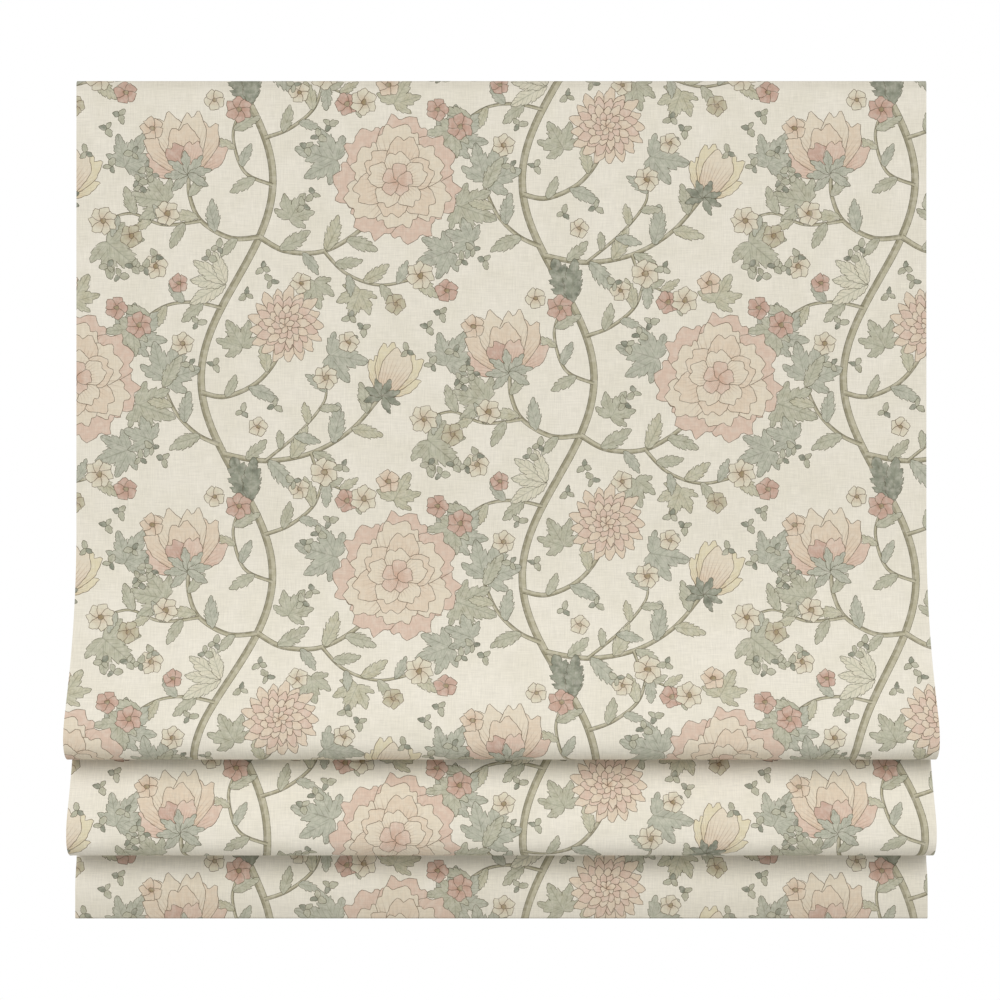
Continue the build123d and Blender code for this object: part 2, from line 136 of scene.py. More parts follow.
class Finish:
    """A material with one Principled surface and a method that adds any node."""

    def __init__(self, name, **constants):
        self.material = bpy.data.materials.new(name)
        self.material.use_nodes = True
        self.tree = self.material.node_tree
        self.surface = next(n for n in self.tree.nodes if n.type == "BSDF_PRINCIPLED")
        for socket, value in constants.items():
            self.surface.inputs[socket.replace("_", " ")].default_value = value

    def add(self, kind, settings, *inputs, out=0):
        """A node of that kind, its settings, then one value, link or None for each input."""
        node = self.tree.nodes.new(kind)
        for name, value in settings.items():
            setattr(node, name, value)
        for socket, value in zip(node.inputs, inputs):
            if isinstance(value, Value):
                self.tree.links.new(value.socket, socket)
            elif value is not None:
                socket.default_value = value
        return Value(self, node.outputs[out])

    def attribute(self, name, out="Color"):
        return self.add("ShaderNodeAttribute", {"attribute_name": name}, out=out)

    def split(self, vector):
        node = self.tree.nodes.new("ShaderNodeSeparateXYZ")
        self.tree.links.new(vector.socket, node.inputs[0])
        return [Value(self, socket) for socket in node.outputs]

    def mix(self, share, first, second, blend="MIX"):
        """Colour mixing; the colour sockets of a Mix node are numbers 6 and 7, its result number 2."""
        node = self.tree.nodes.new("ShaderNodeMix")
        node.data_type, node.blend_type = "RGBA", blend
        for number, value in ((0, share), (6, first), (7, second)):
            socket = node.inputs[number]
            if isinstance(value, Value):
                self.tree.links.new(value.socket, socket)
            else:
                socket.default_value = value
        return Value(self, node.outputs[2])

    def noise(self, vector, scale, detail=2.0):
        return self.add("ShaderNodeTexNoise", {}, vector, None, scale, detail, 0.55, out=0)

    def stretched(self, x, y, z=1.0, source="UV"):
        """Texture coordinates multiplied along each axis."""
        where = Value(self, self.tree.nodes.new("ShaderNodeTexCoord").outputs[source])
        return self.add("ShaderNodeVectorMath", {"operation": "MULTIPLY"}, where, (x, y, z))

    def spread(self, value, middle, reach):
        """A noise value as a number that lies within reach of the middle."""
        return self.add("ShaderNodeMapRange", {}, value, 0.3, 0.7, middle - reach, middle + reach)

    def drive(self, socket, value):
        self.tree.links.new(value.socket, self.surface.inputs[socket])

    def bump(self, height, strength, distance):
        self.drive("Normal", self.add("ShaderNodeBump", {}, strength, distance, None, height))


def colour(red, green, blue):
    """A screen colour from 0 to 255 as the linear colour that a shader wants."""
    linear = [((c / 255 + 0.055) / 1.055) ** 2.4 if c > 10 else c / 3294.6 for c in (red, green, blue)]
    return (*linear, 1.0)


print("shader helpers ready")

# %% [markdown]
# Seen from the side, the cloth is one long line: down the flat panel, out and round the first fold,
# up to a tight crease at a rod, round the second fold, up to the last rod, then down to the hem.
# It is followed like a belt over round formers, so every bend meets its neighbour without a kink.
# The distance along that belt is the distance along the flat cloth, which is what keeps a print true.

# %% The folded line of the cloth
MM = 0.001
rod_drop = [(TOP - (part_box(f"rod_{i}")[0].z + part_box(f"rod_{i}")[1].z) / 2) / MM for i in (1, 2, 3, 4)]
HEM_DROP = (TOP - cloth_low.z) / MM
DROP_C, DROP_A, DROP_B = rod_drop[1:]
FOLD_DEPTH_1, FOLD_DEPTH_2, HEM_DEPTH = 58, 45, 5.5
FOLD_R, CREASE, FLARE, BELLY, SWELL, TOP_R, HEM_R = 22, 1.2, 370, 48, 60, 5, 2.8
FLAP, HEM_TURN = 5, 34

# Each former is (depth, drop, radius, turn), in millimetres.
formers = [
    (-TOP_R, TOP_R, TOP_R, -1),
    (FLARE, DROP_C, FLARE, 1),
    (FOLD_DEPTH_1 - BELLY, DROP_A + 29, BELLY, -1),
    (FOLD_DEPTH_1 - FOLD_R, DROP_A + 30, FOLD_R, -1),
    (FOLD_DEPTH_1 - FOLD_R - 5, DROP_A + 35, FOLD_R - 5, -1),
    (1, DROP_A + 2.5, CREASE, 1),
    (490, DROP_A - 109, 499, 1),
    (FOLD_DEPTH_2 - 38, DROP_B + 115, 38, -1),
    (FOLD_DEPTH_2 - FOLD_R, DROP_B + 120, FOLD_R, -1),
    (FOLD_DEPTH_2 - FOLD_R - 4, DROP_B + 126, FOLD_R - 6, -1),
    (-1, DROP_B + 5, CREASE, 1),
    (SWELL - 1.5, HEM_DROP - 72, SWELL, 1),
    (HEM_DEPTH - SWELL, HEM_DROP - 31, SWELL, -1),
    (HEM_DEPTH - HEM_R, HEM_DROP - HEM_R, HEM_R, -1),
]


def belt(stops, first, last):
    """The headings at which the cloth meets and leaves each former, as in the CAD model."""
    heading, line = first, []
    for here, after in zip(stops, stops[1:] + [None]):
        depth, drop, radius, turn = here
        leave = last
        if after:
            away = math.hypot(after[0] - depth, after[1] - drop)
            lean = (after[3] * after[2] - turn * radius) / away
            leave = math.atan2(after[0] - depth, after[1] - drop) - math.asin(max(-1, min(1, lean)))
        while turn * (leave - heading) < -1e-6:
            leave += turn * 2 * math.pi
        while turn * (leave - heading) > 2 * math.pi - 1e-6:
            leave -= turn * 2 * math.pi
        line.append((here, heading, leave))
        heading = leave
    return line


class FoldedLine:
    """Turns a distance along the flat cloth into a place and a facing on the folded cloth."""

    def __init__(self):
        self.runs, self.stations, length, point = [], [0.0], 0.0, None
        line = belt(formers, math.pi / 2, -math.pi)
        for former, meet, leave in line:
            touch = self.on_former(former, meet)
            straight = FLAP if point is None else float(np.hypot(*(touch - point)))
            start = touch - straight * np.array((math.sin(meet), math.cos(meet)))
            self.runs.append((length, straight, start, meet, None, 0))
            length += straight
            arc = former[2] * abs(leave - meet)
            self.runs.append((length, arc, touch, meet, former, leave))
            steps = max(2, math.ceil(abs(leave - meet) / math.radians(7 if former[2] > 5 else 20)))
            if former[2] > 100:
                steps = 14
            self.stations += list(length + arc * np.linspace(0, 1, steps + 1))
            length += arc
            point = self.on_former(former, leave)
            if former is formers[4] or former is formers[9]:
                self.stations.append(length)
        self.runs.append((length, HEM_TURN, point, line[-1][2], None, 0))
        self.length = length + HEM_TURN
        self.stations.append(self.length)
        self.starts = np.array([run[0] for run in self.runs])

    @staticmethod
    def on_former(former, heading, offset=0.0):
        depth, drop, radius, turn = former
        reach = offset - turn * radius
        return np.array((depth + reach * math.cos(heading), drop - reach * math.sin(heading)))

    def distance_to(self, former, share=0.5):
        """The distance along the cloth to a share of the way round one former."""
        run = next(r for r in self.runs if r[4] is former)
        return run[0] + run[1] * share

    def at(self, along, offset=0.0):
        """Depths, drops and headings of points at these distances, offset behind the printed face."""
        along = np.asarray(along, float)
        which = np.clip(np.searchsorted(self.starts, along, "right") - 1, 0, len(self.runs) - 1)
        depth, drop, heading = (np.zeros_like(along) for _ in range(3))
        for index, (start, length, point, meet, former, leave) in enumerate(self.runs):
            chosen = which == index
            if not chosen.any():
                continue
            part = along[chosen] - start
            if former is None:
                angle = np.full(part.shape, meet)
                depth[chosen] = point[0] + part * math.sin(meet) + offset * math.cos(meet)
                drop[chosen] = point[1] + part * math.cos(meet) - offset * math.sin(meet)
            else:
                angle = meet + (leave - meet) * part / max(length, 1e-9)
                reach = offset - former[3] * former[2]
                depth[chosen] = former[0] + reach * np.cos(angle)
                drop[chosen] = former[1] - reach * np.sin(angle)
            heading[chosen] = angle
        return depth, drop, heading

    def place(self, across, along, offset=0.0):
        """World points and outward normals of the cloth, in metres."""
        depth, drop, heading = self.at(along, offset)
        points = np.stack([np.asarray(across) * MM, FACE_Y - depth * MM, TOP - drop * MM], 1)
        normals = np.stack([np.zeros_like(depth), -np.cos(heading), np.sin(heading)], 1)
        return points, normals


cloth_line = FoldedLine()
print("cloth from end to end:", round(cloth_line.length), "mm, visible drop", round(HEM_DROP), "mm")

# %% [markdown]
# The cloth is cut into bands at the places where the blind's mechanism bends it: at each rod and at the
# bottom of each fold. Each band hangs from the body that holds its upper end; the four fold bands stay
# fixed in place.
# The seams between bands are invisible, because both sides share the same line and the same normals.

# %% Bands of cloth
TAPE_DROP = 40  # the tapes hold the cloth to the rail down to here
at_tape = cloth_line.distance_to(formers[0], 1) + TAPE_DROP - TOP_R
at_rod_1 = at_tape + rod_drop[0] - TAPE_DROP
at_rod_2 = cloth_line.distance_to(formers[1], 0)
at_fold_1 = cloth_line.distance_to(formers[4], 0)
at_rod_3 = cloth_line.distance_to(formers[5])
at_fold_2 = cloth_line.distance_to(formers[9], 0)
at_rod_4 = cloth_line.distance_to(formers[10])
BANDS = {
    "top": (0, at_tape),
    "upper": (at_tape, at_rod_1),
    "middle": (at_rod_1, at_rod_2),
    "fold_1_front": (at_rod_2, at_fold_1),
    "fold_1_return": (at_fold_1, at_rod_3),
    "fold_2_front": (at_rod_3, at_fold_2),
    "fold_2_return": (at_fold_2, at_rod_4),
    "hem": (at_rod_4, cloth_line.length),
}
travel = {joint["name"]: joint["range_m"] for joint in frame["joints"] if joint["type"] == "slide"}


def close_up(piece, body, joint, high, low):
    """Hang a piece from a body, on a mesh of its own; the share it keeps as the joint rises is worked out
    but not applied.
    """
    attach(piece, body)
    keep = 1 - travel[joint][1] / ((low - high) * MM)
    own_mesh(piece)


def follow(piece, band):
    """Hang a band of cloth or lining from the body that holds its upper end; the fold bands stay fixed in
    place.
    """
    def height(drop):
        return (0, 0, TOP - drop * MM)

    fold_1, fold_2 = DROP_A + 52, DROP_B + 142
    if band == "top":
        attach(piece, "rail")
    elif band == "upper":
        close_up(piece, "rail", "rod_1_lift", TAPE_DROP, rod_drop[0])
    elif band == "middle":
        close_up(piece, "rod_level_1", "rod_2_lift", rod_drop[0], DROP_C)
    elif band == "fold_1_front":
        height(DROP_C)
        height(2 * fold_1 - DROP_C)
        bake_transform(piece)
    elif band == "fold_1_return":
        height(2 * fold_1 - DROP_A)
        height(DROP_A)
        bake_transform(piece)
    elif band == "fold_2_front":
        height(DROP_A)
        height(2 * fold_2 - DROP_A)
        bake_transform(piece)
    elif band == "fold_2_return":
        height(2 * fold_2 - DROP_B)
        height(DROP_B)
        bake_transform(piece)
    else:
        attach(piece, "rod_level_4")


class Patch:
    """Part of a piece: points, normals, places on the flat cloth, faces, a finish and corner values."""

    def __init__(self, points, normals, places, faces, finish, ink=None, mark=None):
        self.points, self.normals, self.places = points, normals, places
        self.faces, self.finish = np.asarray(faces), finish
        shape = self.faces.shape
        ink = np.zeros((*shape, 4)) if ink is None else ink
        mark = np.zeros((*shape, 3)) if mark is None else mark
        a, b, c = (points[self.faces[:, k]] for k in range(3))
        if (np.cross(b - a, c - a) * normals[self.faces[:, 0]]).sum() < 0:
            self.faces, ink, mark = self.faces[:, ::-1], ink[:, ::-1], mark[:, ::-1]
        self.ink, self.mark = ink.reshape(-1, 4), mark.reshape(-1, 3)


def mesh_piece(name, patches):
    """One mesh from several patches, with their own normals and a flat-cloth UV map in metres."""
    finishes = list(dict.fromkeys(p.finish for p in patches))
    faces, first = [], 0
    for patch in patches:
        faces += (patch.faces + first).tolist()
        first += len(patch.points)
    mesh = bpy.data.meshes.new(name)
    mesh.from_pydata(np.concatenate([p.points for p in patches]).tolist(), [], faces)
    corners = np.zeros(len(mesh.loops), np.int32)
    mesh.loops.foreach_get("vertex_index", corners)
    places = np.concatenate([p.places for p in patches]) * MM
    layer = mesh.uv_layers.new(name="cloth")
    layer.data.foreach_set("uv", places[corners].astype(np.float32).ravel())
    for attribute, kind, field in (("ink", "FLOAT_COLOR", "color"), ("mark", "FLOAT_VECTOR", "vector")):
        values = np.concatenate([getattr(p, attribute) for p in patches]).astype(np.float32)
        data = mesh.attributes.new("print_" + attribute, kind, "CORNER").data
        data.foreach_set(field, values.ravel())
    for finish in finishes:
        mesh.materials.append(finish)
    index = np.concatenate([np.full(len(p.faces), finishes.index(p.finish)) for p in patches])
    mesh.polygons.foreach_set("material_index", index.astype(np.int32))
    mesh.polygons.foreach_set("use_smooth", np.ones(len(mesh.polygons), bool))
    mesh.normals_split_custom_set_from_vertices(np.concatenate([p.normals for p in patches]).tolist())
    piece = bpy.data.objects.new(name, mesh)
    bpy.context.scene.collection.objects.link(piece)
    return piece


print("bands:", {name: round(b - a) for name, (a, b) in BANDS.items()})

# %% [markdown]
# The print is drawn by the code: each motif is an outline in flat cloth coordinates, in millimetres.
# Petals, leaves and stems are made by a few small functions with sizes, so the design is easy to change.
# A shape is painted twice, first a little larger in the line ink and then in its own ink.

# %% Outlines for petals, leaves and stems
INKS = {
    "line": (110, 93, 75),
    "green_line": (94, 89, 70),
    "cream": (221, 209, 188),
    "peach": (218, 201, 179),
    "pink": (213, 189, 171),
    "rose": (197, 167, 151),
    "butter": (219, 209, 179),
    "pale": (216, 209, 187),
    "blue_leaf": (173, 173, 157),
    "sage": (178, 175, 153),
    "olive": (189, 183, 157),
    "stem": (182, 176, 151),
    "stem_shade": (150, 144, 120),
    "dark_leaf": (120, 123, 108),
    "centre": (158, 143, 112),
}
PLAIN, PETAL, LEAF = range(3)
HAND_WANDER, LINE_WIDTH, LEAF_LINE_WIDTH = 0.45, 0.62, 0.56  # millimetres
design = []  # (outline, ink, kind, origin, heading, size), back to front


def turned(outline, origin, heading):
    """A local outline, x along and y across, put at origin and turned to a heading in degrees."""
    c, s = math.cos(math.radians(heading)), math.sin(math.radians(heading))
    x, y = outline[:, 0], outline[:, 1]
    return np.stack([origin[0] + c * x - s * y, origin[1] + s * x + c * y], 1)


def grown(outline, width):
    """The outline moved outwards by width."""
    ahead, behind = np.roll(outline, -1, 0) - outline, outline - np.roll(outline, 1, 0)
    tangent = ahead / np.maximum(np.hypot(*ahead.T), 1e-6)[:, None]
    tangent += behind / np.maximum(np.hypot(*behind.T), 1e-6)[:, None]
    tangent /= np.maximum(np.hypot(*tangent.T), 0.3)[:, None]
    x, y = outline[:, 0], outline[:, 1]
    area = float(np.sum(x * np.roll(y, -1) - np.roll(x, -1) * y))
    out = np.stack([tangent[:, 1], -tangent[:, 0]], 1) * (1 if area > 0 else -1)
    return outline + out * width


def by_hand(outline):
    """The outline with the slight wander of a drawing made by hand."""
    x, y = outline[:, 0], outline[:, 1]
    across = np.sin(0.61 * x + 0.37 * y) + 0.6 * np.sin(1.7 * y)
    down = np.sin(0.53 * y - 0.44 * x + 1)
    return outline + HAND_WANDER * np.stack([across, down], 1)


def paint(local, ink, kind, origin, heading, size, line="line", width=LINE_WIDTH):
    """Add one shape with its drawn edge."""
    outline = by_hand(turned(local, origin, heading))
    design.append((grown(outline, width), line, PLAIN, origin, heading, size))
    design.append((outline, ink, kind, origin, heading, size))


def petal(origin, heading, length, width, ink="cream", frill=0.0, bend=0.0, steps=0, waves=7):
    """A petal, widest towards its rim, which may be frilled."""
    turn = np.linspace(0, 2 * math.pi, steps or 6 * waves, endpoint=False)
    share = 0.5 - 0.5 * np.cos(turn)
    x = length * share
    y = width / 2 * np.sin(turn) * (0.62 + 0.62 * share)
    ripple = 1 + frill * (np.sin(waves * turn + 0.7) + 0.5 * np.sin(1.6 * waves * turn)) * share**2
    x, y = x * ripple, y * ripple + bend * length * share**2
    paint(np.stack([x, y], 1), ink, PETAL, origin, heading, (length, width / 2))


def leaf_outline(length, width, lobes, cut, bend):
    """A serrated leaf along x, whose lobes and teeth point to its tip."""
    teeth = lobes * 3 if length > 30 else lobes
    share = np.linspace(0.02, 0.98, teeth * 4)
    lobe, tooth = share * lobes % 1, share * teeth % 1
    half = width / 2 * np.sin(math.pi * share**0.8) ** 0.7
    half *= (1 - 1.3 * cut * (1 - lobe) ** 1.5) * (1 - 0.12 * (1 - tooth))
    rise = length * (share + 0.5 / lobes * lobe**2 * (1 - share))
    x = np.concatenate([[0], rise, [length], rise[::-1]])
    y = np.concatenate([[0], half, [0], -half[::-1]])
    return np.stack([x, y + bend * length * (x / length) ** 2], 1)


def leaf(origin, heading, length, width, ink="sage", lobes=5, cut=0.3, bend=0.0):
    outline = leaf_outline(length, width, lobes, cut, bend)
    paint(outline, ink, LEAF, origin, heading, (length, width / 2), "green_line", LEAF_LINE_WIDTH)


def vine_leaf(origin, heading, length, ink):
    """A broad leaf of five joined lobes, edged only round the outside."""
    first = len(design)
    for turn, part in ((-88, 0.6), (88, 0.6), (-44, 0.86), (44, 0.86), (0, 1.0)):
        leaf(origin, heading + turn, length * part, length * part * 0.5, ink, 3, 0.26)
    lobes = design[first:]
    design[first:] = lobes[0::2] + lobes[1::2]


def through(points, steps=9):
    """A smooth line through the given points."""
    p = np.array([points[0], *points, points[-1]], float)
    share = np.linspace(0, 1, steps, endpoint=False)[:, None]
    parts = []
    for a, b, c, d in zip(p, p[1:], p[2:], p[3:]):
        parts.append(0.5 * (2 * b + (c - a) * share + (2 * a - 5 * b + 4 * c - d) * share**2
                            + (3 * b - a - 3 * c + d) * share**3))
    return np.concatenate(parts + [p[-1:]])


def stem(points, thick, thin, ink="stem", line="green_line"):
    """A tapering stem along a smooth line."""
    middle = through(points)
    ahead = np.gradient(middle, axis=0)
    ahead /= np.hypot(*ahead.T)[:, None]
    side = np.stack([-ahead[:, 1], ahead[:, 0]], 1)
    half = np.linspace(thick, thin, len(middle))[:, None] / 2
    edge = half + 0.5
    for near, far, tint in ((-edge, edge, line), (-half, half, ink), (half * 0.2, half, ink + "_shade")):
        outline = np.concatenate([middle + side * far, (middle + side * near)[::-1]])
        design.append((outline, tint, PLAIN, middle[0], 0, (1, 1)))


def flower(centre, radius, petals, ink, turn):
    """A small open flower with a round eye."""
    for k in range(petals):
        width = radius * 4.6 / petals
        petal(centre, turn + 360 * k / petals, radius, width, ink, 0.1, steps=12, waves=3)
    petal((centre[0] - radius * 0.2, centre[1]), 0, radius * 0.42, radius * 0.42, "centre", steps=8)


print("print helpers ready,", len(INKS), "inks")

# %% [markdown]
# Furnishing prints repeat: one group of motifs is set again beside itself, each time dropped by half
# its height. That half drop hides the repeat. A trunk that sways like a wave leaves a wide and a narrow
# space by turns, and each space gets its flowers on branches of their own. This is a common layout for
# trailing flowers.
# Stems are drawn first, then leaves, then flowers, so that the flowers lie on top as in a block print.

# %% Trunk and branches
REPEAT_X, REPEAT_Y = 340.0, 420.0
HALF_DROP = -REPEAT_Y / 2
TRUNK_MIDDLE, TRUNK_SWAY, TRUNK_OVERLAP = 170, 38, 20


def trunk(y):
    """The trunk's place at this height of the repeat."""
    return TRUNK_MIDDLE + TRUNK_SWAY * math.sin(2 * math.pi * y / REPEAT_Y), y


# Points, thickness at the foot and at the tip, length of its leaves and their spacing
BRANCHES = (
    ([trunk(165), (222, 180), (262, 180), (300, 158), (330, 125)], 5, 3, 34, 25),
    ([trunk(165), (163, 166), (132, 148), (120, 122), (119, 100)], 4.5, 3, 30, 24),
    ([trunk(330), (158, 334), (190, 320), (212, 294), (222, 262)], 4.5, 3, 30, 26),
    ([trunk(395), (200, 402), (248, 394), (290, 370), (322, 334)], 5, 3, 36, 24),
    ([trunk(385), (128, 374), (106, 352), (92, 322)], 4, 2.5, 32, 22),
    ([trunk(60), (226, 50), (252, 28), (262, -4)], 3.5, 2, 28, 20),
    ([trunk(240), (124, 234), (94, 238), (66, 256)], 3, 2, 26, 20),
    ([(262, 180), (286, 204), (322, 216), (362, 208)], 3, 2, 28, 18),
    ([(248, 394), (262, 422), (300, 440)], 2.5, 1.5, 24, 17),
    ([(200, 402), (236, 372), (262, 340), (264, 318)], 2.5, 1.5, 24, 20),
    ([trunk(110), (178, 96), (166, 60), (172, 34)], 3, 2, 26, 20),
    ([(132, 148), (92, 152), (58, 140), (30, 148)], 3, 1.5, 26, 18),
)
stem([trunk(y) for y in np.linspace(0, REPEAT_Y + TRUNK_OVERLAP, 20)], 7, 7)
for points, foot, tip, *_ in BRANCHES:
    stem(points, foot, tip)
print("stems:", len(design), "shapes")

# %% [markdown]
# Leaves give the print its depth. Broad vine leaves lie behind, narrow serrated ones follow each branch
# from side to side, and a dark wrapped leaf hides the place where one trunk ends and the next begins.

# %% Leaves
def foliage(points, length, spacing):
    """Leaves along a branch, on one side and the other by turns."""
    middle = through(points)
    along = np.concatenate([[0], np.cumsum(np.hypot(*np.diff(middle, axis=0).T))])
    for k, distance in enumerate(np.arange(spacing, along[-1], spacing)):
        place = tuple(np.interp(distance, along, middle[:, axis]) for axis in (0, 1))
        step = middle[np.searchsorted(along, distance)] - place
        side = 1 if k % 2 else -1
        size = length * (1 + 0.18 * math.sin(2.3 * k + length))
        tint = ("sage", "blue_leaf", "olive")[k % 3]
        heading = math.degrees(math.atan2(step[1], step[0])) + 46 * side
        leaf(place, heading, size, size * 0.46, tint, 5, 0.25, 0.12 * side)


for x, y, heading, length, ink in (
    (276, 84, 196, 46, "blue_leaf"), (404, 132, 20, 44, "sage"), (398, 62, -40, 44, "blue_leaf"),
    (176, 282, -120, 34, "sage"), (268, 290, 10, 42, "blue_leaf"), (96, 128, 190, 42, "sage"),
    (92, 316, -60, 48, "blue_leaf"), (372, 380, 40, 46, "sage"), (392, 300, -60, 40, "blue_leaf"),
    (60, 262, 130, 34, "sage"), (300, 222, 110, 32, "olive"), (226, 146, -60, 32, "sage"),
    (336, 24, -60, 34, "olive"), (56, 390, 160, 38, "blue_leaf"), (252, 212, 80, 30, "sage"),
    (420, 170, 200, 32, "blue_leaf"),
):
    vine_leaf((x, y), heading, length, ink)
for points, _, _, length, spacing in BRANCHES:
    foliage(points, length, spacing)
for heading, length in ((150, 44), (185, 38), (215, 42), (250, 36)):
    leaf((158, 214), heading, length, length * 0.42, "pale", 4, 0.22)
leaf(trunk(REPEAT_Y + TRUNK_OVERLAP + 6), -112, 52, 30, "dark_leaf", 5, 0.3)
leaf(trunk(REPEAT_Y + TRUNK_OVERLAP + 4), -84, 46, 22, "dark_leaf", 4, 0.25)
print("stems and leaves:", len(design), "shapes")

# %% [markdown]
# An open flower is a few rings of petals, painted from the outside in. A flower seen from the side
# is a fan of petals in a cup of sepals. Changing the rings or the fan gives another kind of flower.

# %% Large flowers
RIM_FRILL = 0.055


def bloom(centre, turn, *rings):
    """An open flower of rings: count, length, width, ink and the waves of each petal's rim."""
    for ring, (count, length, width, ink, waves) in enumerate(rings):
        for k in range(count):
            heading = turn + 360 * k / count + 11 * ring
            uneven = 1 + 0.1 * math.sin(3.1 * k + ring)
            petal(centre, heading, length * uneven, width, ink, RIM_FRILL, waves=waves)


def blossom(base, heading, petals, cup, length):
    """A flower seen from the side: spread, length, width and ink of each petal, in a cup of sepals."""
    for spread, *shape in petals:
        petal(base, heading + spread, *shape, RIM_FRILL)
    for spread in (-130, -88, -48, 0, 48, 88, 130):
        leaf(base, heading + spread, length, length * 0.42, cup, 3, 0.22)


bloom((340, 105), 20, (7, 66, 52, "pink", 9), (6, 54, 46, "cream", 9), (6, 42, 34, "peach", 7),
      (5, 30, 26, "cream", 7), (5, 17, 15, "pink", 5))
bloom((222, 258), 0, (17, 40, 11, "peach", 3), (15, 31, 10, "pink", 3), (13, 23, 8.5, "peach", 3),
      (10, 15, 7, "pink", 3), (6, 8, 5, "peach", 3))
OPEN_FAN = (
    (-62, 46, 28, "pink"), (60, 48, 28, "pink"), (-36, 58, 32, "peach"), (34, 58, 32, "peach"),
    (-14, 66, 32, "cream"), (14, 64, 30, "cream"), (0, 50, 34, "peach"), (-22, 34, 24, "rose"),
    (20, 34, 22, "pink"),
)
BUD_FAN = (
    (-38, 42, 18, "butter"), (38, 42, 18, "butter"), (-18, 56, 24, "butter"), (18, 56, 24, "butter"),
    (0, 54, 32, "cream"),
)
blossom((118, 98), -98, OPEN_FAN, "blue_leaf", 25)
blossom((324, 334), -64, BUD_FAN, "dark_leaf", 20)
print("with large flowers:", len(design), "shapes")

# %% [markdown]
# Small flowers and loose sprigs fill the gaps, so that the ground shows only in small even patches.

# %% Small flowers and sprigs
for x, y, radius, count, ink in (
    (262, -6, 15, 6, "pale"), (286, 24, 12, 5, "rose"), (236, 12, 11, 5, "pale"),
    (364, 206, 15, 7, "pale"), (392, 222, 12, 5, "rose"), (338, 236, 11, 5, "olive"),
    (66, 258, 14, 6, "rose"), (42, 240, 12, 5, "rose"), (304, 442, 14, 6, "pale"),
    (330, 424, 12, 5, "peach"), (264, 314, 13, 7, "pale"), (288, 276, 11, 5, "pale"),
    (172, 30, 14, 6, "rose"), (146, 20, 11, 5, "pale"), (28, 148, 15, 7, "pale"),
    (58, 164, 12, 5, "olive"), (436, 350, 13, 6, "pale"), (420, 260, 12, 5, "peach"),
    (84, 196, 13, 6, "pale"), (108, 214, 10, 5, "rose"), (112, 278, 12, 6, "pale"),
    (192, 366, 10, 5, "pale"), (238, 214, 11, 5, "pale"),
):
    flower((x, y), radius, count, ink, x + y)
for x, y in (
    (244, 70), (256, 58), (268, 46), (250, 120), (240, 132), (408, 190), (420, 178), (432, 190),
    (206, 212), (198, 198), (180, 226), (290, 250), (304, 262), (372, 260), (386, 246), (350, 286),
    (376, 300), (420, 310), (408, 322), (424, 396), (412, 408), (176, 350), (210, 344), (60, 196),
    (46, 206), (34, 196), (128, 256), (120, 300), (146, 300), (282, 408), (230, 424), (74, 92),
    (66, 106), (60, 76), (140, 186), (150, 176),
):
    for turn, length, ink in ((0, 10, "sage"), (130, 8, "dark_leaf"), (240, 8, "sage")):
        leaf((x, y), 37 * x + 11 * y + turn, length, length * 0.7, ink, 2, 0.1)
print("shapes in one repeat:", len(design))

# %% [markdown]
# To put the drawing on the cloth, all outlines become edges of one triangle mesh of the flat cloth.
# Every triangle then lies inside or outside each shape, and takes the ink of the last shape over it.
# Edges stay as sharp as the drawing, however near the camera comes, and no image file is needed.

# %% Cut the print into the cloth
HALF = (cloth_high.x - cloth_low.x) / 2 / MM
ROW_STEP, NEAR_ROW = 40, 8


def copies(low, high, left_side, right_side):
    """Every shape of the design that touches this area of the flat cloth, in painting order."""
    found = []
    steps = [
        (i * REPEAT_X, i * HALF_DROP + j * REPEAT_Y)
        for i in range(-1, 4)
        for j in range(-2, 7)
    ]
    for outline, ink, kind, origin, heading, size in design:
        (x1, y1), (x2, y2) = outline.min(0), outline.max(0)
        for across, down in steps:
            left, top = across - HALF, down + at_top
            if x2 + left < left_side or x1 + left > right_side or y2 + top < low or y1 + top > high:
                continue
            shift = np.array((left, top))
            found.append((outline + shift, ink, kind, np.asarray(origin) + shift, heading, size))
    return found


def inside(points, outline):
    """Which points have the outline wound round them."""
    a, b = outline, np.roll(outline, -1, 0)
    x, y = points[:, :1], points[:, 1:]
    left = (b[:, 0] - a[:, 0]) * (y - a[:, 1]) - (x - a[:, 0]) * (b[:, 1] - a[:, 1])
    up = (a[:, 1] <= y) & (b[:, 1] > y) & (left > 0)
    down = (a[:, 1] > y) & (b[:, 1] <= y) & (left < 0)
    return (up.sum(1) - down.sum(1)) != 0


def cut(points, edges):
    """The triangles of the flat cloth when these edges are cut into it."""
    vertices, _, triangles, *_ = delaunay_2d_cdt([Vector(p) for p in points], edges, [], 0, 1e-4, False)
    return np.array([tuple(v) for v in vertices]), np.array(triangles)


def owners(middles, shapes):
    """For each triangle's middle, the number of the last shape that covers it, or -1."""
    by_height = np.argsort(middles[:, 1])
    heights = middles[by_height, 1]
    owner = np.full(len(middles), -1)
    for number, (outline, *_) in enumerate(shapes):
        (x1, y1), (x2, y2) = outline.min(0), outline.max(0)
        part = by_height[np.searchsorted(heights, y1) : np.searchsorted(heights, y2)]
        part = part[(middles[part, 0] > x1) & (middles[part, 0] < x2)]
        if len(part):
            owner[part[inside(middles[part], outline)]] = number
    return owner


def visible_edges(triangles, colours):
    """Edges between two triangles that differ in colour."""
    sides = [triangles[:, [a, b]] for a, b in ((0, 1), (1, 2), (2, 0))]
    pairs = np.sort(np.concatenate(sides), 1)
    tint = np.tile(colours, 3)
    order = np.lexsort((pairs[:, 1], pairs[:, 0]))
    pairs, tint = pairs[order], tint[order]
    return pairs[1:][(pairs[1:] == pairs[:-1]).all(1) & (tint[1:] != tint[:-1])]


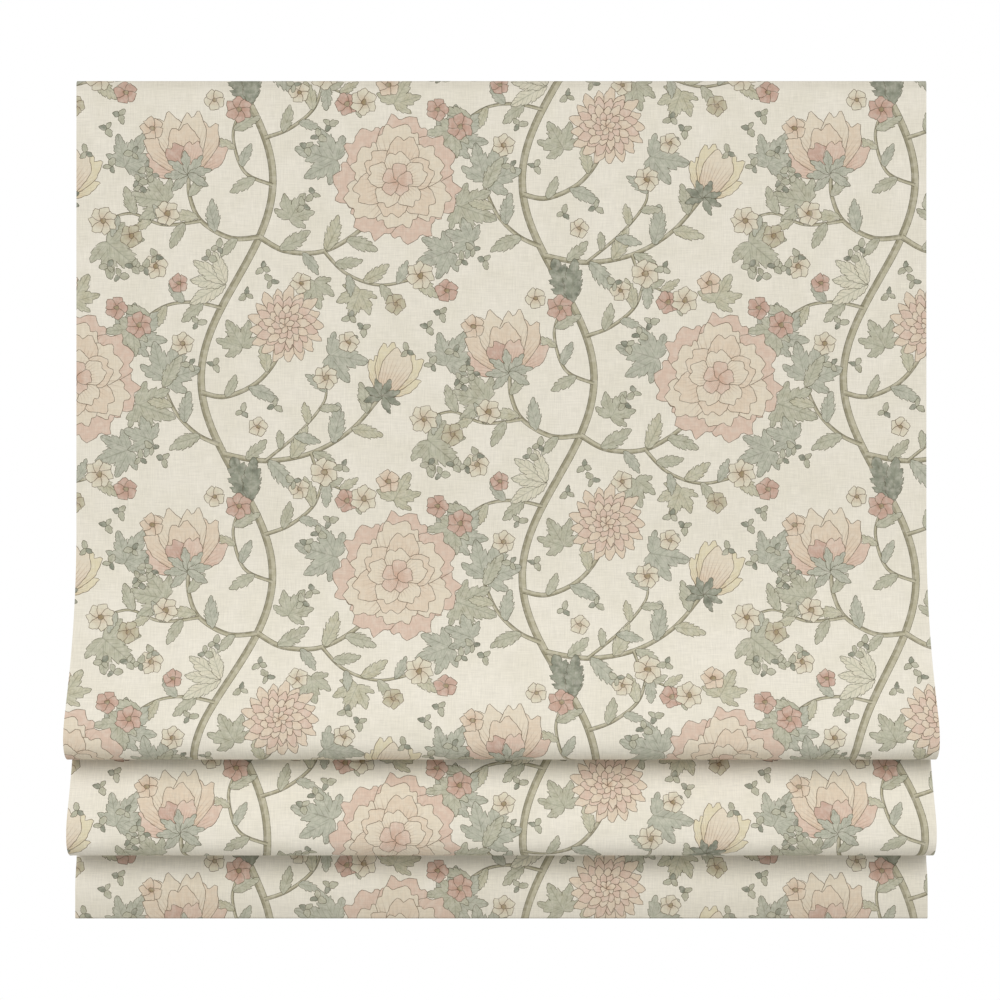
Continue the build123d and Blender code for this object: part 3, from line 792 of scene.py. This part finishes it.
def printed_band(low, high, left_side, right_side):
    """Flat vertices, triangles and, for each triangle, its shape's number in the copies."""
    shapes = copies(low, high, left_side, right_side)
    stations = [s for s in cloth_line.stations if low + 0.05 < s < high - 0.05]
    for row in np.arange(low, high, ROW_STEP)[1:]:
        if min([abs(row - s) for s in stations] + [ROW_STEP]) > NEAR_ROW:
            stations.append(row)
    lines = [low, *sorted(stations), high]
    corners = [(x, s) for s in lines for x in (left_side, right_side)]
    points, edges = list(corners), [(2 * k, 2 * k + 1) for k in range(len(lines))]
    edges += [(0, 2 * len(lines) - 2), (1, 2 * len(lines) - 1)]
    for outline, *_ in shapes:
        near = (outline[:, 1] > low - 4) & (outline[:, 1] < high + 4)
        near &= (outline[:, 0] > left_side - 4) & (outline[:, 0] < right_side + 4)
        first, count = len(points), len(outline)
        points += [tuple(p) for p in outline]
        ring = [(k, (k + 1) % count) for k in range(count)]
        edges += [(first + a, first + b) for a, b in ring if near[a] or near[b]]
    plain = {ink: -2 - k for k, ink in enumerate(INKS)}
    tints = np.array([plain[s[1]] if s[2] == PLAIN else k for k, s in enumerate(shapes)] + [-1])
    for final in (False, True):
        used = sorted({k for e in edges for k in e})
        order = {k: n for n, k in enumerate(used)}
        vertices, triangles = cut([points[k] for k in used], [(order[a], order[b]) for a, b in edges])
        middles = vertices[triangles].mean(1)
        kept = (middles[:, 0] > left_side) & (middles[:, 0] < right_side)
        kept &= (middles[:, 1] > low) & (middles[:, 1] < high)
        triangles, owner = triangles[kept], owners(middles[kept], shapes)
        if final:
            break
        # Lines that other shapes cover are left out of the second, final cut.
        edges = visible_edges(triangles, tints[owner])
        ends = np.unique(edges)
        points = vertices.tolist()
        corner = [int(np.argmin(np.hypot(*(vertices - c).T))) for c in corners]
        edges = [tuple(e) for e in edges.tolist()]
        for axis, places in ((1, lines), (0, (left_side, right_side))):
            for place in places:
                along_it = [k for k in {*ends.tolist(), *corner} if abs(points[k][axis] - place) < 1e-3]
                along_it.sort(key=lambda k: points[k][1 - axis])
                edges += list(zip(along_it, along_it[1:]))
    used, triangles = np.unique(triangles, return_inverse=True)
    return vertices[used], triangles.reshape(-1, 3), owner, shapes


def print_data(flat, triangles, owner, shapes):
    """Each corner's ink, and its place within its shape: along, across and kind."""
    table = [(INKS[ink], kind, origin, heading, size) for _, ink, kind, origin, heading, size in shapes]
    table.append(((0, 0, 0), PLAIN, np.zeros(2), 0, (1, 1)))
    inks = np.array([colour(*t[0]) if t[0] != (0, 0, 0) else (0, 0, 0, 0) for t in table])[owner]
    kinds = np.array([t[1] for t in table])[owner]
    origins = np.array([t[2] for t in table])[owner]
    headings = np.radians([t[3] for t in table])[owner]
    sizes = np.array([t[4] for t in table])[owner]
    away = flat[triangles] - origins[:, None]
    c, s = np.cos(headings)[:, None], np.sin(headings)[:, None]
    along = (away[..., 0] * c + away[..., 1] * s) / sizes[:, :1]
    across = (away[..., 1] * c - away[..., 0] * s) / sizes[:, 1:]
    marks = np.stack([along, across, np.broadcast_to(kinds[:, None], along.shape)], 2)
    return np.repeat(inks[:, None], 3, 1), marks


at_top = FLAP + TOP_R * math.pi / 4
at_bottom = cloth_line.distance_to(formers[13], 0.5)
print("half width", round(HALF), "mm, print starts", round(at_top, 1), "mm along the cloth")

# %% [markdown]
# Linen is woven from uneven yarns, so its colour and its surface have short thick slubs both ways.
# The weave is noise stretched along each yarn; the print only tints that cloth, and it is a little worn.
# The rolled top turn and hem are darkened with painted shade.
# Veins are computed from each corner's place in its petal or leaf, so they need no extra outlines.

# %% Printed linen
linen = Finish("printed_linen", Roughness=0.9)
linen.surface.inputs["Specular IOR Level"].default_value = 0.15
ink_colour = linen.attribute("print_ink")
has_ink = linen.attribute("print_ink", "Alpha")
along, across, kind = linen.split(linen.attribute("print_mark", "Vector"))
is_petal = kind.math("COMPARE", float(PETAL), 0.5)
is_leaf = kind.math("COMPARE", float(LEAF), 0.5)
side = across.math("ABSOLUTE")

fan = across / (along.math("MAXIMUM", 0.0) + 0.22)
fan_line = 1.0 - (fan * 3.4).math("FRACT").math("SUBTRACT", 0.5).math("ABSOLUTE").between(0.05, 0.13)
fan_line = fan_line * (1.0 - along.between(0.4, 0.9)) * is_petal
rib = 1.0 - side.between(0.02, 0.09)
ribs = (along * 7.0 - side * 1.8).math("FRACT").math("SUBTRACT", 0.5).math("ABSOLUTE")
ribs = (1.0 - ribs.between(0.03, 0.1)) * (1.0 - side.between(0.55, 0.85))
vein = rib.math("MAXIMUM", ribs) * is_leaf
blush = (1.0 - along.between(0.0, 0.75)) * is_petal

patches = linen.noise(linen.stretched(1, 1), 22.0, 3.0)
wash = linen.noise(linen.stretched(1, 1), 90.0, 2.0)
blushed = linen.mix(1.0, ink_colour, colour(236, 212, 198), "MULTIPLY")
tinted = linen.mix(blush * 0.55, ink_colour, blushed)
tinted = linen.mix(fan_line * 0.5, tinted, colour(150, 118, 96))
tinted = linen.mix(vein * 0.5, tinted, colour(98, 97, 78))
tinted = linen.mix((1.0 - wash.between(0.35, 0.75)) * is_leaf * 0.35, tinted, colour(196, 198, 178))
ground = linen.mix(patches.between(0.3, 0.7), colour(231, 225, 211), colour(226, 220, 204))
worn = 0.76 + linen.noise(linen.stretched(1, 1), 160.0, 2.0).between(0.3, 0.6) * 0.24
printed = linen.mix(has_ink * worn, ground, tinted)

place = linen.split(linen.stretched(1, 1))[1]
bottom = (at_bottom - 0.5 * math.pi * HEM_R) * MM
# Painted shade: the cloth is darkened over the top turn and down over the bottom hem, where the rolled
# edges turn away from the light.
painted_edge_shade = 1.0 - place.between(0.004, 0.022)
painted_edge_shade = painted_edge_shade + place.between(bottom - 0.045, bottom + 0.002) * 0.9
printed = linen.mix(painted_edge_shade.math("MINIMUM", 1.0) * 0.24, printed, colour(120, 112, 94))
warp = linen.noise(linen.stretched(900, 60), 1.0, 2.0)
weft = linen.noise(linen.stretched(60, 900), 1.0, 2.0)
slub = (warp + weft) * 0.5
shade = linen.add("ShaderNodeMapRange", {}, slub, 0.3, 0.7, 0.86, 1.06)
woven = linen.add("ShaderNodeCombineColor", {}, shade, shade, shade)
linen.drive("Base Color", linen.mix(1.0, printed, woven, "MULTIPLY"))
linen.bump(slub, 0.25, 0.0004)
print("linen nodes:", len(linen.tree.nodes))

# %% [markdown]
# The wrong side of the linen shows inside the folds, and a cotton lining covers most of the back.
# Both are plain, so they need only the weave.


# %% Plain cloth
def plain_cloth(name, tint, coarse, source="UV"):
    finish = Finish(name, Roughness=0.92)
    finish.surface.inputs["Specular IOR Level"].default_value = 0.1
    threads = finish.noise(finish.stretched(coarse, 60, 60, source), 1.0)
    threads = threads + finish.noise(finish.stretched(60, coarse, coarse, source), 1.0)
    light = finish.add("ShaderNodeMapRange", {}, threads, 0.6, 1.4, 0.95, 1.03)
    tone = finish.add("ShaderNodeCombineColor", {}, light, light, light)
    finish.drive("Base Color", finish.mix(1.0, colour(*tint), tone, "MULTIPLY"))
    finish.bump(threads, 0.15, 0.0003)
    return finish.material


linen_back = plain_cloth("linen_back", (229, 223, 209), 900)
lining_cloth = plain_cloth("lining_cotton", (238, 234, 224), 1400)
print("plain cloths:", linen_back.name, lining_cloth.name)

# %% [markdown]
# A sheet of cloth has a front, a back and thin edges. All three are cut from the same folded line,
# at different offsets behind the printed face, so the thickness stays even round the tightest crease.

# %% Sheets and edges along the folded line


def stations_between(low, high):
    between = [s for s in sorted(cloth_line.stations) if low + 0.05 < s < high - 0.05]
    return np.array([low, *between, high])


def ladder(count):
    """Quads between two rows of points."""
    return [(k, k + 1, count + k + 1, count + k) for k in range(count - 1)]


def plain_sheet(low, high, left, right, offset, finish, backwards=True):
    """A sheet between two distances and two sides, facing backwards or forwards."""
    along = stations_between(low, high)
    sides = np.repeat([left, right], len(along))
    points, normals = cloth_line.place(sides, np.tile(along, 2), offset)
    places = np.stack([sides, np.tile(along, 2)], 1)
    return Patch(points, -normals if backwards else normals, places, ladder(len(along)), finish)


def edge_wall(low, high, x, near, far, finish, outwards=1):
    """The edge of a cloth at one side, between two offsets."""
    along = stations_between(low, high)
    rows = [cloth_line.place(np.full(len(along), x), along, offset)[0] for offset in (near, far)]
    normals = np.tile((math.copysign(outwards, x), 0.0, 0.0), (2 * len(along), 1))
    places = np.stack([np.repeat([x, x + near - far], len(along)), np.tile(along, 2)], 1)
    return Patch(np.concatenate(rows), normals, places, ladder(len(along)), finish)


def end_wall(at, left, right, near, far, finish, downwards):
    """The cut edge across one end of a cloth."""
    x = np.array([left, right, left, right])
    rows = [cloth_line.place(x[:2], np.full(2, at), offset)[0] for offset in (near, far)]
    _, _, heading = cloth_line.at([at])
    ahead = np.array((0, -math.sin(heading[0]), -math.cos(heading[0]))) * (1 if downwards else -1)
    places = np.stack([x, np.full(4, at)], 1)
    return Patch(np.concatenate(rows), np.tile(ahead, (4, 1)), places, [(0, 1, 3, 2)], finish)


print("rows in the upper band:", len(stations_between(*BANDS["upper"])))

# %% [markdown]
# The printed cloth is cut wider than the blind, and each side edge is turned to the back as a hem.
# So the print runs round the edge and shows on the hems behind, mirrored.

# %% Face cloth
INNER, OUTER = -1.0, -1.9
HEM_WIDTH = 38


def printed_patch(low, high, left, right, folded):
    """A printed patch; a folded one lies on the back of the blind."""
    flat, triangles, owner, shapes = printed_band(low, high, left, right)
    ink, mark = print_data(flat, triangles, owner, shapes)
    x = np.sign(flat[:, 0]) * (2 * HALF - abs(flat[:, 0])) if folded else flat[:, 0]
    points, normals = cloth_line.place(x, flat[:, 1], OUTER if folded else 0.0)
    return Patch(points, -normals if folded else normals, flat, triangles, linen.material, ink, mark)


for band, (low, high) in BANDS.items():
    inner = HALF - HEM_WIDTH
    patches = [printed_patch(low, high, -HALF, HALF, False)]
    for side in (-1, 1):
        edges = sorted((side * HALF, side * (HALF + HEM_WIDTH)))
        patches.append(printed_patch(low, high, *edges, True))
        patches.append(edge_wall(low, high, side * HALF, 0, OUTER, linen.material))
        patches.append(edge_wall(low, high, side * inner, INNER, OUTER, linen_back, -1))
    patches.append(plain_sheet(low, high, -inner, inner, INNER, linen_back))
    for at, down in ((0, False), (cloth_line.length, True)):
        if at in (low, high):
            patches.append(end_wall(at, -HALF, HALF, 0, INNER, linen_back, down))
    piece = mesh_piece(f"printed_cloth_{band}", patches)
    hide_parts("face_fabric")
    follow(piece, band)
    (high - low) * MM
    print(band, "faces:", len(piece.data.polygons))

# %% [markdown]
# The lining hides the wrong side of the print and keeps the sun off it. It is a narrower sheet, sewn to
# the side hems, that follows the same line a little further back and stops above the bottom hem.

# %% Lining
LINING_NEAR, LINING_FAR, LINING_HALF = -1.3, -1.9, (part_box("lining")[1].x / MM)
lining_end = cloth_line.distance_to(formers[11], 1) + 2
for band, (low, high) in BANDS.items():
    high = min(high, lining_end)
    patches = [
        plain_sheet(low, high, -LINING_HALF, LINING_HALF, LINING_NEAR, lining_cloth, False),
        plain_sheet(low, high, -LINING_HALF, LINING_HALF, LINING_FAR, lining_cloth),
        edge_wall(low, high, -LINING_HALF, LINING_NEAR, LINING_FAR, lining_cloth),
        edge_wall(low, high, LINING_HALF, LINING_NEAR, LINING_FAR, lining_cloth),
    ]
    for at, down in ((0, False), (lining_end, True)):
        if at in (low, high):
            sizes = (-LINING_HALF, LINING_HALF, LINING_NEAR, LINING_FAR)
            patches.append(end_wall(at, *sizes, lining_cloth, down))
    piece = mesh_piece(f"lining_{band}", patches)
    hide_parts("lining")
    follow(piece, band)
    (high - low) * MM
print("lining:", round(2 * LINING_HALF), "x", round(lining_end), "mm")

# %% [markdown]
# Three thin braided cords lift the blind. Each is laid in neat turns on its spool, leaves it, drops
# through the floor of the rail and runs through a ring at every rod down to a bead at the lowest one.
# Between two rods the cord is its own piece, because the rods close up when the blind is raised.

# %% Braided cord finish
braid = Finish("braided_cord", Roughness=0.75)
along, around, _ = braid.split(braid.stretched(1, 1))
left_hand = ((along * 700.0 + around * 2.0) * (2 * math.pi)).math("SINE")
right_hand = ((along * 700.0 - around * 2.0) * (2 * math.pi)).math("SINE")
plaits = left_hand.math("MAXIMUM", right_hand)
# Painted light and shade: the white cord is painted darker in the hollows of the plait and lighter on its
# crowns.
CORD_HOLLOW_SHADE, CORD_CROWN_LIGHT = colour(214, 211, 202), colour(240, 238, 231)
braid.drive("Base Color", braid.mix(plaits.between(-0.2, 0.8), CORD_HOLLOW_SHADE, CORD_CROWN_LIGHT))
braid.bump(plaits, 0.4, 0.0001)


def tube(name, path, radius, sides=8):
    """A round tube along a line of points, with UVs along and around it."""
    path = np.asarray(path, float)
    ahead = np.gradient(path, axis=0)
    ahead /= np.linalg.norm(ahead, axis=1)[:, None]
    side = np.cross(ahead[0], (1.0, 0.3, 0.0))
    travelled = np.concatenate([[0], np.cumsum(np.linalg.norm(np.diff(path, axis=0), axis=1))])
    points, normals, places = [], [], []
    for centre, forward, distance in zip(path, ahead, travelled):
        side = side - forward * side.dot(forward)
        side /= np.linalg.norm(side)
        other = np.cross(forward, side)
        for k in range(sides + 1):
            angle = 2 * math.pi * k / sides
            out = side * math.cos(angle) + other * math.sin(angle)
            points.append(centre + out * radius)
            normals.append(out)
            places.append((distance / MM, k / sides / MM))
    row = sides + 1
    faces = [
        (r * row + k, r * row + k + 1, (r + 1) * row + k + 1, (r + 1) * row + k)
        for r in range(len(path) - 1)
        for k in range(sides)
    ]
    skin = Patch(np.array(points), np.array(normals), np.array(places), faces, braid.material)
    return mesh_piece(name, [skin])


print("braid nodes:", len(braid.tree.nodes))

# %% [markdown]
# The part of a cord on its spool is a helix, a little wider than the spool, one cord's width per turn.
# A short curve joins it to the straight drop. Cords can't be shortened by a joint; below the rail the
# first two pieces hang from the body at their upper end, and the last two stay fixed in place.

# %% Lift cords
CORD_R, SPOOL_R, PITCH, TURNS = 0.0007, 0.0055, 0.0015, 12.4
SPOOL_GAP, LEAD_DROP, LEAD_PULL, LIFT_OFF = 0.00005, 0.008, 0.009, math.radians(20)
RAIL_FLOOR_Z, ANCHOR_DROP = -0.020, 9
WOUND_POINTS, LEAD_POINTS, HANGING_POINTS = 250, 9, 12
spool_low, spool_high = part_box("drive_shaft")
AXIS_Y, AXIS_Z = (spool_low.y + spool_high.y) / 2, (spool_low.z + spool_high.z) / 2
wound_radius = SPOOL_R + CORD_R + SPOOL_GAP
cord_drops = [*rod_drop[:3], rod_drop[3] + ANCHOR_DROP]
LEVELS = [RAIL_FLOOR_Z] + [TOP - drop * MM for drop in cord_drops]
bodies = ["rail", "rod_level_1", "rod_level_2", "rod_level_3", "rod_level_4"]
for number, place in enumerate(("left", "middle", "right"), 1):
    ring_low, ring_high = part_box(f"ring_1_{place}")
    x, y = (ring_low.x + ring_high.x) / 2, (ring_low.y + ring_high.y) / 2
    share = np.linspace(1, 0, WOUND_POINTS)
    angle = LIFT_OFF - 2 * math.pi * TURNS * share
    winding = np.stack([
        x - PITCH * TURNS * share,
        AXIS_Y - wound_radius * np.cos(angle),
        AXIS_Z + wound_radius * np.sin(angle),
    ], 1)
    t = np.linspace(0, 1, LEAD_POINTS)[1:, None]
    leave, hang = winding[-1], np.array((x, y, AXIS_Z - LEAD_DROP))
    out = winding[-1] - winding[-2]
    out = out / np.linalg.norm(out) * LEAD_PULL
    down = np.array((0, 0, -LEAD_PULL))
    lead = ((2 * t**3 - 3 * t**2 + 1) * leave + (t**3 - 2 * t**2 + t) * out
            + (3 * t**2 - 2 * t**3) * hang + (t**3 - t**2) * down)
    parts = [("wound", np.concatenate([winding, lead, [(x, y, LEVELS[0])]]))]
    for k in range(4):
        z = np.linspace(LEVELS[k], LEVELS[k + 1], HANGING_POINTS)
        parts.append((f"section_{k + 1}", np.stack([np.full_like(z, x), np.full_like(z, y), z], 1)))
    for k, (part, path) in enumerate(parts):
        piece = tube(f"lift_cord_{place}_{part}", path, CORD_R)
        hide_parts(f"lift_cord_{number}")
        if k == 0:
            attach(piece, "rail")
        elif k < 3:
            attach(piece, bodies[k - 1])
            reach = LEVELS[k - 1] - LEVELS[k]
            keep = 1 - travel[f"rod_{k}_lift"][1] / reach
            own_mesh(piece)
        else:
            top, low = (x, y, LEVELS[k - 1]), (x, y, TOP - rod_drop[k - 1] * MM)
            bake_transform(piece)
print("cord axis:", round(AXIS_Y, 4), round(AXIS_Z, 4), "cord line y:", round(y, 4))

# %% [markdown]
# The hard pieces keep the shapes of the CAD model. Each finish adds what the eye expects at close range:
# fine grain in moulded plastic, orange peel in powder coat, drawn lines along metal, pile on the tape.
# Only colour, roughness and bump vary; constant values stay on the sockets of the surface.


# %% Finishes of the hard pieces
def grained(name, tint, rough, scale, bump, darker=0.98, depth=0.0002, **constants):
    """A moulded or coated surface with a fine even grain."""
    finish = Finish(name, **constants)
    where = finish.stretched(1, 1, 1, "Object")
    grain = finish.noise(where, scale, 3.0)
    broad = finish.noise(where, 6.0, 1.0)
    shade = tuple(c * darker for c in tint)
    finish.drive("Base Color", finish.mix(broad.between(0.3, 0.7), colour(*shade), colour(*tint)))
    finish.drive("Roughness", finish.spread(grain, rough, 0.06))
    finish.bump(grain, bump, depth)
    return finish.material


def drawn(name, tint, rough, along, across, **constants):
    """Metal or fibre with fine lines along X."""
    finish = Finish(name, **constants)
    lines = finish.noise(finish.stretched(along, across, across, "Object"), 1.0, 3.0)
    shade = tuple(c * 0.9 for c in tint)
    finish.drive("Base Color", finish.mix(lines.between(0.3, 0.7), colour(*shade), colour(*tint)))
    finish.drive("Roughness", finish.spread(lines, rough, 0.08))
    finish.bump(lines, 0.08, 0.0001)
    return finish.material


finishes = {
    "coat": grained("rail_coat", (236, 236, 232), 0.42, 900, 0.06),
    "plastic": grained("white_plastic", (233, 233, 229), 0.5, 2200, 0.12),
    "spool": grained("spool_plastic", (206, 206, 201), 0.46, 2200, 0.1),
    "bracket": grained("bracket_coat", (228, 228, 223), 0.4, 800, 0.08),
    "clear": grained("clear_plastic", (224, 227, 225), 0.2, 1500, 0.03, 0.98, Alpha=0.72, IOR=1.49),
    "tape": grained("tape_pile", (236, 236, 233), 0.9, 1500, 0.7, 0.95, 0.0006),
    "steel": drawn("drawn_steel", (176, 176, 176), 0.3, 12, 1600, Metallic=1.0),
    "bar": drawn("bar_aluminium", (212, 212, 212), 0.35, 10, 1400, Metallic=1.0),
    "fibre": drawn("glass_fibre", (236, 236, 228), 0.45, 20, 2500),
    "pocket": plain_cloth("pocket_cotton", (238, 234, 224), 1400, "Object"),
}
FINISH_OF = (
    ("headrail", "coat"), ("end_cap", "plastic"), ("hook_tape", "tape"), ("loop_tape", "tape"),
    ("bracket", "bracket"), ("latch", "bracket"), ("idle", "plastic"), ("control", "plastic"),
    ("brake_spring", "steel"), ("cradle", "plastic"), ("drive_shaft", "steel"),
    ("chain_wheel", "spool"), ("cord_spool", "spool"), ("rod_pocket", "pocket"), ("rod_", "fibre"),
    ("ring_", "clear"), ("bottom_bar", "bar"), ("bar_cap", "plastic"), ("cord_anchor", "clear"),
)
plain = []
for name, node in nodes.items():
    key = next((finish for part, finish in FINISH_OF if part in name), None)
    if key is None:
        plain.append(name)
        continue
    node.data.materials.clear()
    node.data.materials.append(finishes[key])
print("nodes replaced by cloth and cord:", plain)

# %% [markdown]
# Cloth wants light that is soft but has a direction: one broad light above and behind the camera
# leaves the flat cloth even and lets each fold shade the cloth just under it. A sun lamp is used,
# because it lights the top and the bottom of a tall object equally; its wide angle softens the shadows.
# The surroundings are white, so that the print keeps its own colours.

# %% Light and floor
FLOOR_Z = -1.5
FLOOR_CORNERS = ((-5, -6), (5, -6), (5, 1.8), (-5, 1.8))
floor_mesh = bpy.data.meshes.new("floor")
floor_mesh.from_pydata([(x, y, FLOOR_Z) for x, y in FLOOR_CORNERS], [], [(0, 1, 2, 3)])
floor = bpy.data.objects.new("floor", floor_mesh)
bpy.context.scene.collection.objects.link(floor)
floor_finish = Finish("floor", Roughness=0.8)
floor_finish.surface.inputs["Base Color"].default_value = colour(238, 238, 236)
floor_mesh.materials.append(floor_finish.material)

SUN_STRENGTH, SUN_ANGLE, SUN_DIRECTION = 2.08, math.radians(45), (0.12, 0.8, -0.62)
sun_light = bpy.data.lights.new("key", "SUN")
sun_light.energy, sun_light.angle = SUN_STRENGTH, SUN_ANGLE
key = bpy.data.objects.new("key", sun_light)
key.rotation_euler = Vector(SUN_DIRECTION).to_track_quat("-Z", "Y").to_euler()
bpy.context.scene.collection.objects.link(key)

AMBIENT, SEEN = 0.38, 1.0
world = bpy.data.worlds.new("surroundings")
bpy.context.scene.world = world
world.use_nodes = True
background = next(n for n in world.node_tree.nodes if n.type == "BACKGROUND")
background.inputs["Color"].default_value = (1, 1, 1, 1)
path = world.node_tree.nodes.new("ShaderNodeLightPath")
brightness = world.node_tree.nodes.new("ShaderNodeMapRange")
world.node_tree.links.new(path.outputs["Is Camera Ray"], brightness.inputs["Value"])
brightness.inputs["To Min"].default_value = AMBIENT
brightness.inputs["To Max"].default_value = SEEN
world.node_tree.links.new(brightness.outputs[0], background.inputs["Strength"])
bpy.context.scene.view_settings.view_transform = "Standard"
